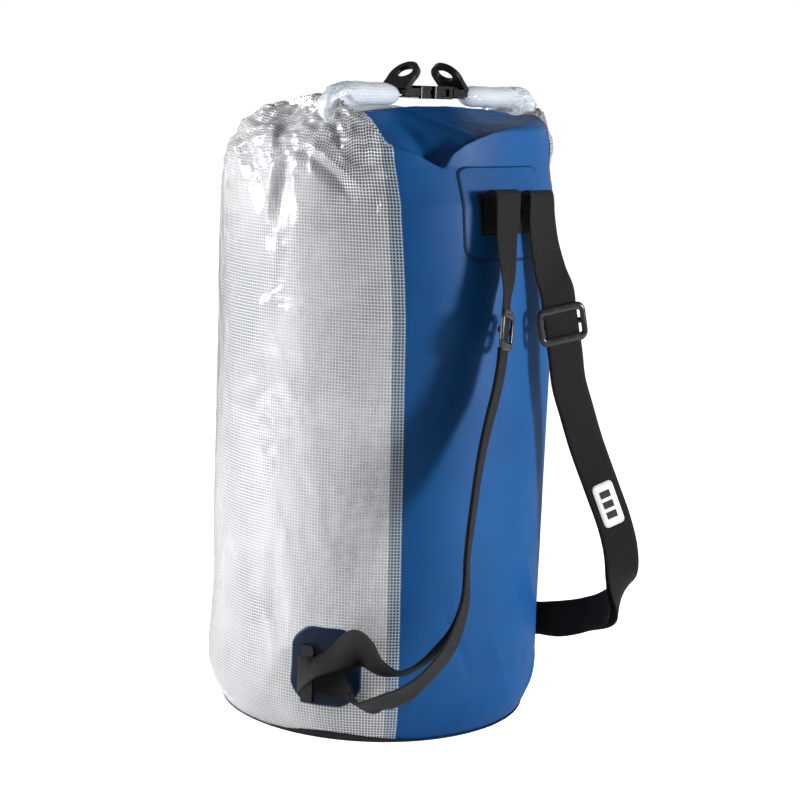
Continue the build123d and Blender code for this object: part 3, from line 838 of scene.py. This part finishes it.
def rolled_tube(name, line, material, seed, crumple, close_end, wide=1.0):
    """Rolled fabric swept along a line in the XZ plane, with soft wrinkles."""
    centres, places = resample([tuple(p) for p in line], 2.0 * MM)
    tangents = unit(np.gradient(centres, axis=0))
    out_y = np.array((0.0, 1.0, 0.0))
    turns = circle(56)
    verts, uvs = [], []
    length = places[-1]
    for centre, tangent, place in zip(centres, tangents, places):
        other = np.cross(tangent, out_y)
        base = centre + np.outer(np.cos(turns), out_y) * ROLL_R + np.outer(np.sin(turns), other) * ROLL_R
        bent = crumple(centre)
        rough = bump_noise(base * np.array((0.55, 1, 1)), 60.0, seed, 3)
        soft = bump_noise(base, 28.0, seed + 5, 2)
        folds = 0.5 - np.abs(bump_noise(base, 75.0, seed + 9, 2)) * 1.7
        radius = ROLL_R + (0.5 * rough + 0.7 * soft) * MM + bent * (2.6 * folds + 1.2 * rough) * MM
        if close_end:
            left = (length - place) / (20 * MM)
            radius = radius * (0.25 + 0.75 * math.sqrt(1 - (1 - min(1.0, left)) ** 2))
        ring = (centre + np.outer(np.cos(turns) * radius * wide, out_y)
                + np.outer(np.sin(turns) * radius, other))
        verts.append(ring)
        uvs.append(np.stack([np.full(len(turns), place), turns * ROLL_R], -1))
    faces = grid_faces(len(centres), len(turns), wrap=True)
    ends = [centres[0], centres[-1]]
    first = len(centres) * len(turns)
    for j in range(len(turns)):
        after = (j + 1) % len(turns)
        faces.append((first, after, j))
        faces.append((first + 1, first - len(turns) + j, first - len(turns) + after))
    uvs.append(np.array([[0, 0], [length, 0]]))
    return new_mesh(name, np.concatenate(verts + [np.array(ends)]), faces, np.concatenate(uvs), material)


def near_bend(centre):
    return float(ease((abs(centre[0]) - 0.088) / 0.035))


CUT_X = middle_high.x
straight = [Vector((x, ROLL_Y, ROLL_Z + roll_lift(x)))
            for x in np.linspace(-CUT_X - 10 * MM, CUT_X + 12 * MM, 24)]
roll_middle = rolled_tube("roll_middle_fabric", straight, BLUE, 21, lambda c: 0.25 * near_bend(c), False)
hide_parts("roll_middle")
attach(roll_middle, "bag")

ARM_END_LEFT = -51 * MM         # far enough in to cover the stiffening strip
ARM_END_RIGHT = 42 * MM
roll_right = rolled_tube("roll_end_right_fabric", roll_line(CUT_X, ARM_END_RIGHT, 1), ROLLED_MESH, 31,
                         near_bend, True, 1.08)
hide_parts("roll_end_right")
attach(roll_right, "bag")
roll_left = rolled_tube("roll_end_left_fabric", roll_line(-CUT_X, ARM_END_LEFT, -1), ROLLED_MESH, 41,
                        near_bend, True, 1.08)
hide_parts("roll_end_left")
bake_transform(roll_left)


# ---- base ----------------------------------------------------------------------
def base_piece():
    """The welded bottom: its black rim stands highest on the clear side."""
    turns = np.linspace(-math.pi, math.pi, 240, endpoint=False)
    clear = bell(turns, -1.05, 0.32) + 0.4 * bell(turns, 2.2, 0.8)
    round_ = np.stack([np.cos(turns), np.sin(turns), 0 * turns], -1)
    wobble = bump_noise(round_, 2.2, 51, 3) + 1.1 * bump_noise(round_, 7.0, 52, 3)
    rim = (2.0 + 8.5 * clear + (0.6 + 1.6 * clear) * wobble) * MM
    _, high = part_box("base_disc")
    outer = high.x + 0.6 * MM
    foot_r = outer - FOOT_IN
    profile = []
    for share, level in ((0.0, 0.8), (0.5, 0.4), (0.9, 0.1), (0.985, 0.0)):
        profile.append((foot_r * share, level * MM + 0 * turns))
    for t in np.linspace(0, 1, 5):
        profile.append((foot_r * (0.985 + 0.015 * math.sin(t * math.pi / 2)),
                        1.6 * MM * (1 - math.cos(t * math.pi / 2)) + 0 * turns))
    for share, inset in ((0.6, 0.0), (1.0, 0.0), (1.06, 0.8), (0.6, 2.2)):
        profile.append((outer - foot(rim * share) - inset * MM, rim * share))
    verts = [np.stack([r * np.sin(turns), -r * np.cos(turns), z + 0 * turns], -1) for r, z in profile]
    uvs = np.concatenate([v[:, :2] for v in verts])
    faces = grid_faces(len(profile), len(turns), wrap=True)
    return new_mesh("base_fabric", np.concatenate(verts), faces, uvs, BLACK)


base = base_piece()
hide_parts("base_disc")
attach(base, "bag")


# ---- webbing --------------------------------------------------------------------
def band(name, stations, lift=0.0):
    """Webbing through stations of (point, direction across) in millimetres, lifted off along its
    normal by a distance (or by one distance per station)."""
    lifts = [lift] * len(stations) if np.isscalar(lift) else list(lift)
    rows = [(*(c * MM for c in point), *across, off * MM) for (point, across), off in zip(stations, lifts)]
    line, places = resample(rows, 3.0 * MM)
    centre, across, off = line[:, :3], line[:, 3:6], line[:, 6:7]
    along = unit(np.gradient(centre, axis=0))
    across = unit(across - along * np.sum(across * along, axis=1, keepdims=True))
    normal = np.cross(along, across)
    centre = centre + normal * off
    half_w, half_t = WEBBING_W / 2, WEBBING_T / 2
    side_steps = np.linspace(-1, 1, 11)
    loop = [(-half_w, 0.0)] + [(s * (half_w - 0.5 * MM), half_t) for s in side_steps]
    loop += [(half_w, 0.0)] + [(s * (half_w - 0.5 * MM), -half_t) for s in side_steps[::-1]]
    wave = bump_noise(centre, 30.0, len(name), 2)[:, None] * 0.35 * MM
    verts, uvs = [], []
    for x, y in loop:
        curl = (x / half_w) ** 2 * wave * 0.6
        verts.append(centre + across * x + normal * (y + curl))
        uvs.append(np.stack([np.full(len(places), x + (0.05 if y < 0 else 0)), places], -1))
    count = len(loop)
    verts = np.stack(verts, 1).reshape(-1, 3)
    uvs = np.stack(uvs, 1).reshape(-1, 2)
    faces = grid_faces(len(places), count, wrap=True)
    end = tuple(range(count))
    faces += [end[::-1]] + shifted([end], (len(places) - 1) * count)
    return new_mesh(name, verts, faces, uvs, WEBBING)


def mirrored(stations):
    """The same band on the other side of the bag. Points flip, directions across flip and turn
    over, so that the outer face stays outside."""
    return [((-x, y, z), (a, -b, -c)) for (x, y, z), (a, b, c) in stations]


def join(name, pieces):
    """One object out of several."""
    for obj in bpy.context.selected_objects:
        obj.select_set(False)
    for obj in pieces:
        obj.select_set(True)
    bpy.context.view_layer.objects.active = pieces[0]
    bpy.ops.object.join()
    pieces[0].name = name
    return pieces[0]


SLIDER_AT = Vector((42, -187.5, 400))
SLIDER_ALONG = (Vector((47, -189.5, 372)) - Vector((37, -184, 428))).normalized()
SLIDER_ACROSS = Vector((0.84, -0.45, 0.22))
SLIDER_ACROSS = (SLIDER_ACROSS - SLIDER_ALONG * SLIDER_ACROSS.dot(SLIDER_ALONG)).normalized()
across_slider = tuple(SLIDER_ACROSS)


def on_slider(along):
    return tuple(SLIDER_AT + SLIDER_ALONG * along)


STRAP_X = 26.0
FOLD_Z = 519.0
strap_point, _ = fabric_spot(math.asin(STRAP_X * MM / TUBE_R), 500 * MM)
SEWN_Y = strap_point[1] / MM - 3.4      # the sewn end lies on the anchor webbing


def upper_stations(fold):
    """From the sewn end, over the fold at the top and down to below the slider."""
    stations = [((STRAP_X, SEWN_Y, z), (1, 0, 0)) for z in (486, 498, 509, FOLD_Z)]
    for turn in (35, 70, 105, 145):
        angle = math.radians(turn)
        y, z = SEWN_Y - fold * (1 - math.cos(angle)), FOLD_Z + fold * math.sin(angle)
        stations.append(((STRAP_X, y, z), (1, 0, 0)))
    front = SEWN_Y - 2 * fold
    stations += [((26.2, front - 0.3, 514), (1.0, -0.03, 0.0)),
                 ((27.0, front - 0.8, 500), (0.997, -0.08, 0.0)),
                 ((29.5, front - 3.4, 475), (0.98, -0.17, 0.05)),
                 ((33.0, front - 9.5, 449), (0.92, -0.32, 0.13))]
    return stations + [(on_slider(along), across_slider) for along in (-32, -14, 0, 14)]


LOWER = [
    (on_slider(16), across_slider), (on_slider(32), across_slider),
    ((54.0, -191.0, 343), (0.80, -0.46, 0.30)), ((66.0, -193.0, 315), (0.77, -0.47, 0.38)),
    ((80.0, -197.0, 280), (0.74, -0.48, 0.44)), ((96.0, -205.0, 240), (0.72, -0.48, 0.48)),
    ((110.0, -213.0, 203), (0.70, -0.49, 0.51)), ((119.0, -217.0, 172), (0.60, -0.48, 0.64)),
    ((127.0, -214.0, 142), (0.38, -0.36, 0.85)), ((137.0, -202.0, 117), (0.18, -0.18, 0.96)),
    ((148.0, -181.0, 99), (0.06, -0.06, 1.00)), ((156.0, -152.0, 86), (0.02, 0.0, 1.0)),
    ((157.5, -124.0, 76), (0.0, 0.0, 1.0)),
]
# How far each of the two layers is from the line between them, at each station.
SPREAD = [0.9, 0.9, 0.9, 0.9, 0.9, 0.9, 1.0, 1.4, 2.6, 4.2, 5.0, 4.6, 3.6]
SHARED = 7                      # stations above the place where the left strap's layers part


def keeper_loop():
    """Round the keeper's bar at the side patch: outer layer in, round the front, inner layer out."""
    turn = math.radians(68)
    out = Vector((math.sin(turn), -math.cos(turn), 0))
    ahead = Vector((math.cos(turn), math.sin(turn), 0))
    bar = out * 172.4 + Vector((0, 0, 68))
    up = (0.0, 0.0, 1.0)
    outer = [(tuple(bar + out * 3.4 + ahead * a), up) for a in (-24, -10, 2)]
    round_ = [(tuple(bar + ahead * (6 + 3.2 * math.sin(t)) + out * 3.2 * math.cos(t)), up)
              for t in (0.4, math.pi / 2, math.pi - 0.4)]
    inner = [(tuple(bar - out * 3.0 + ahead * a), up) for a in (2, -10)]
    return outer + round_ + inner


# The left strap is twisted half a turn above its keeper: one layer stands up in a hump in front
# of the patch, the other dips under it and comes back along the patch.
HUMP = [
    ((-117.5, -218.0, 170), (0.79, 0.51, -0.34)), ((-125, -215.0, 142), (0.83, 0.44, -0.36)),
    ((-134, -206, 123), (0.88, 0.38, -0.30)), ((-140, -191, 106), (0.84, 0.45, -0.31)),
    ((-145, -173, 95), (0.74, 0.56, -0.37)), ((-148, -157, 95), (0.57, 0.64, -0.52)),
    ((-149, -143, 98), (0.36, 0.55, -0.75)), ((-149, -131, 103), (0.20, 0.28, -0.94)),
    ((-150, -121, 105), (-0.01, -0.06, -1.00)), ((-153, -110, 101), (-0.37, -0.39, -0.84)),
    ((-159, -98, 92), (-0.65, -0.59, -0.48)), ((-165.5, -85.4, 83), (-0.72, -0.63, -0.30)),
    ((-168, -76, 76), (-0.68, -0.60, -0.42)), ((-167.5, -69.5, 73), (-0.55, -0.50, -0.67)),
    ((-166, -62, 70), (-0.30, -0.28, -0.91)), ((-163.6, -57.6, 68.5), (-0.1, -0.1, -0.99)),
    ((-159.4, -58.2, 68), (0.0, 0.0, -1.0)), ((-155.6, -67.0, 67), (0.0, 0.0, -1.0)),
]
RETURN = [
    ((-118, -221.0, 169), (0.80, 0.48, -0.36)), ((-126, -220.0, 142), (0.83, 0.41, -0.38)),
    ((-134, -215, 121), (0.86, 0.36, -0.37)), ((-145, -203, 99), (0.88, 0.31, -0.37)),
    ((-152, -188, 83), (0.78, 0.35, -0.52)), ((-153, -171, 71), (0.73, 0.37, -0.57)),
    ((-151, -150, 59), (0.73, 0.43, -0.54)), ((-148, -132, 52), (0.75, 0.53, -0.40)),
    ((-142.5, -114.4, 51), (0.70, 0.44, -0.57)), ((-144.3, -101.3, 59), (0.40, 0.22, -0.89)),
    ((-146.8, -86.0, 65), (-0.08, -0.10, -0.99)),
]


for side_name, side, fold in (("right", 1, 5.0), ("left", -1, 6.5)):
    place = (lambda s: s) if side > 0 else mirrored
    upper = band(f"{side_name}_webbing_upper", place(upper_stations(fold)))
    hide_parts(f"{side_name}_strap_upper", f"{side_name}_strap_sewn_end")
    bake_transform(upper)
    loop = keeper_loop()
    if side > 0:
        outer = LOWER + loop
        outer_lift = SPREAD + [0] * len(loop)
        inner = LOWER[:-1] + [((150.5, -118.0, 73), (0.0, 0.0, 1.0)), loop[-1]]
        inner_lift = [-s for s in SPREAD[:-1]] + [0, 0]
    else:
        shared = mirrored(LOWER[:SHARED])
        outer = shared + HUMP
        outer_lift = [-s for s in SPREAD[:SHARED]] + [0] * len(HUMP)
        inner = shared + RETURN + HUMP[-1:]
        inner_lift = SPREAD[:SHARED] + [0] * (len(RETURN) + 1)
    outer_layer = band(f"{side_name}_outer", outer, lift=outer_lift)
    inner_layer = band(f"{side_name}_inner", inner, lift=inner_lift)
    lower = join(f"{side_name}_webbing_lower", [outer_layer, inner_layer])
    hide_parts(f"{side_name}_strap_lower", f"{side_name}_strap_foot_loop")
    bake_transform(lower)


# ---- webbing anchor and its stitching -------------------------------------------
anchor_low, anchor_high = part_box("strap_anchor_webbing")
anchor_half = (anchor_high.x - anchor_low.x) / 2
anchor_turns = np.linspace(-1, 1, 40) * anchor_half / TUBE_R
anchor_heights = np.linspace(anchor_low.z, anchor_high.z, 16)
anchor = fabric_piece("anchor_webbing", anchor_turns, anchor_heights, 2.4 * MM, WEBBING, 1.4 * MM)
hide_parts("strap_anchor_webbing")
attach(anchor, "bag")


def stitch_row(name, places):
    """Small rounded stitches on the fabric at (angle, height, slant) places."""
    length, thick, off = 2.6 * MM, 0.28 * MM, 2.5 * MM
    beads, sides = (-1, -0.6, 0, 0.6, 1), 6
    verts, faces = [], []
    for angle, height, slant in places:
        centre, normal = fabric_spot(angle, height, off)
        wide = unit(fabric_spot(angle + 0.01, height, off)[0] - centre)
        up = np.cross(normal, wide)
        run = up * math.cos(slant) + wide * math.sin(slant)
        cross = np.cross(run, normal)
        faces += shifted(grid_faces(len(beads), sides, wrap=True), len(verts))
        for t in beads:
            size = thick * (0.35 if abs(t) == 1 else 1.0)
            middle = centre + run * t * length / 2 + normal * (thick * (1 - t * t))
            for k in range(sides):
                turn = k * math.pi / 3
                verts.append(middle + size * (cross * math.cos(turn) + normal * math.sin(turn)))
    return new_mesh(name, verts, faces, None, THREAD)


rows = np.linspace(anchor_low.z + 4 * MM, anchor_high.z - 4 * MM, 9)
places = [(x * MM / TUBE_R, z, 0.25 * side) for x, side in ((-4.5, 1), (4.5, -1)) for z in rows]
stitches = stitch_row("anchor_thread", places)
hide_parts("anchor_stitches")
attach(stitches, "bag")


# ---- sliders ---------------------------------------------------------------------
def slider(name, side):
    """A three-bar slider: a rounded frame outside the webbing and a middle bar behind it."""
    normal = SLIDER_ALONG.cross(SLIDER_ACROSS)
    half_w, half_l, corner, depth = 22.0, 14.8, 5.5, 2.3
    section = [(math.cos(t) * 2.9, math.sin(t) * 2.0) for t in circle(16)]
    ring = []
    for k, (sx, sy) in enumerate(((1, 1), (-1, 1), (-1, -1), (1, -1))):
        for t in np.linspace(0, math.pi / 2, 8):
            turn = t + k * math.pi / 2
            ring.append((sx * (half_w - corner) + corner * math.cos(turn),
                         sy * (half_l - corner) + corner * math.sin(turn), turn))
    verts = []
    for x, y, turn in ring:
        thick = 1.0 + 0.35 * abs(math.sin(turn)) ** 2
        for a, b in section:
            verts.append((x + a * thick * math.cos(turn), y + a * thick * math.sin(turn), depth + b + 0.3))
    steps = np.linspace(-1, 1, 9)
    faces = grid_faces(len(ring), len(section), wrap=True, closed=True)
    faces += shifted(grid_faces(len(steps), len(section), wrap=True), len(verts))
    for x in steps:
        dip = -2.1 + (3.9 * max(0.0, (abs(x) - 0.86) / 0.14))
        for a, b in section:
            verts.append((x * half_w, a * 0.95, dip + b * 0.65))
    placed = []
    for x, y, z in verts:
        p = SLIDER_AT + SLIDER_ACROSS * x + SLIDER_ALONG * y + normal * z
        placed.append((side * p.x * MM, p.y * MM, p.z * MM))
    if side < 0:
        faces = [f[::-1] for f in faces]
    return new_mesh(name, placed, faces, None, SLIDER_PLASTIC)


for side_name, side in (("right", 1), ("left", -1)):
    made = slider(f"{side_name}_slider_frame", side)
    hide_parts(f"{side_name}_slider")
    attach(made, f"{side_name}_slider")


# ---- badge on the right strap ------------------------------------------------------
def badge():
    """A thin rounded plate that follows the face of the strap."""
    start, end = (Vector(LOWER[k][0]) for k in (5, 6))
    along = (end - start).normalized()
    across = Vector((0.71, -0.485, 0.495))
    across = (across - along * across.dot(along)).normalized()
    normal = along.cross(across)
    middle = (start + end) / 2 + normal * (SPREAD[5] + 0.85)
    half_w, half_l, corner = 10.8, 23.0, 4.2
    outline = rounded_outline(half_w, half_l, corner)
    turns = circle(72)
    reach = np.array([outline(t) for t in turns])
    verts, uvs = [], []
    levels = ((0.02, 1.25), (0.5, 1.25), (0.93, 1.25), (0.975, 1.1), (1.0, 0.75), (1.0, 0.0))
    for share, height in levels:
        for turn, far in zip(turns, reach):
            x, y = math.cos(turn) * far * share, math.sin(turn) * far * share
            p = middle + across * x + along * y + normal * height
            verts.append([c * MM for c in p])
            uvs.append((x * MM, y * MM))
    rubber = label_material("white_badge", half_w * MM, half_l * MM)
    return new_mesh("strap_badge", verts, grid_faces(len(levels), len(turns), wrap=True), uvs, rubber)


label = badge()
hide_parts("strap_label")
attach(label, "right_strap")

# ---- moulded parts -----------------------------------------------------------------
HALVES = ("buckle_female_half", "buckle_male_half")
SMALL_PARTS = ("buckle_prong_back", "buckle_prong_front", "right_strap_keeper", "left_strap_keeper")
for names, width, segments in ((HALVES, 1.3 * MM, 4), (SMALL_PARTS, 0.6 * MM, 3)):
    for name in names:
        modifier(nodes[name], "BEVEL", width=width, segments=segments, limit_method="ANGLE",
                 angle_limit=math.radians(28), use_clamp_overlap=True)
for material, names in ((PLASTIC, HALVES + SMALL_PARTS), (STIFFENER, ("mouth_stiffener",)),
                        (WEBBING, ("closure_tab_left", "closure_tab_right"))):
    for name in names:
        nodes[name].data.materials.clear()
        nodes[name].data.materials.append(material)

# ---- finish ---------------------------------------------------------------------
for obj in nodes.values():
    if not obj.data.materials:
        obj.data.materials.append(PLASTIC)
low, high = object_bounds()
